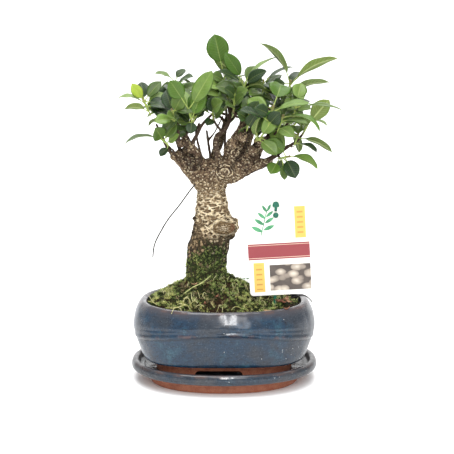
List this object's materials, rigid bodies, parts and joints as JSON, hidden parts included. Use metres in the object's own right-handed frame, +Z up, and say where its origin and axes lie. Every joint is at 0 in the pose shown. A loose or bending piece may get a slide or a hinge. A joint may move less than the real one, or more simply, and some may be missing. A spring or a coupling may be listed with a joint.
{
  "type": "potted bonsai tree",
  "caption": "Small fig bonsai with a thick bare trunk and an open leafy crown, in mossy soil in a glazed oval pot on its saucer, with a plant label on a pick.",
  "frame": {"origin": "centre of the saucer's underside, on the surface that it stands on", "axes": "+Z up, +X along the pot's long side to the right as seen from the front, +Y to the back"},
  "size_m": [0.2365, 0.1823, 0.3761],
  "materials": {
    "glaze": "glossy",
    "drain_mesh": "matte",
    "soil": "matte",
    "moss": "matte",
    "label_card": "satin",
    "label_pick": "satin",
    "bark": "matte",
    "leaf": "glossy"
  },
  "bodies": {
    "root": {"saucer": "glaze", "pot": "glaze", "drain_mesh_1": "drain_mesh", "drain_mesh_2": "drain_mesh", "soil": "soil", "moss_mat": "moss", "plant_label": "label_card", "label_pick": "label_pick", "tree": "bark", "shoot_left_end": "leaf", "shoot_left_low": "leaf", "shoot_left_mid": "leaf", "shoot_left_front": "leaf", "shoot_left_crest": "leaf", "shoot_middle_crest": "leaf", "shoot_top": "leaf", "shoot_right_top": "leaf", "shoot_right_crest": "leaf", "shoot_right_front": "leaf", "shoot_right_side": "leaf", "shoot_right_arch": "leaf", "shoot_right_hook": "leaf", "shoot_right_low_end": "leaf", "shoot_right_low": "leaf", "shoot_right_inner": "leaf", "shoot_centre_front": "leaf", "shoot_centre_left": "leaf", "shoot_left_inner": "leaf", "shoot_centre_high": "leaf", "shoot_back_1": "leaf", "shoot_back_2": "leaf", "shoot_back_3": "leaf", "shoot_back_4": "leaf", "shoot_back_5": "leaf", "shoot_back_6": "leaf", "shoot_back_7": "leaf", "shoot_back_8": "leaf", "shoot_back_9": "leaf", "shoot_back_10": "leaf", "shoot_back_11": "leaf", "shoot_back_12": "leaf", "shoot_back_13": "leaf", "shoot_back_14": "leaf", "shoot_back_15": "leaf", "shoot_back_16": "leaf"}
  },
  "joints": []
}
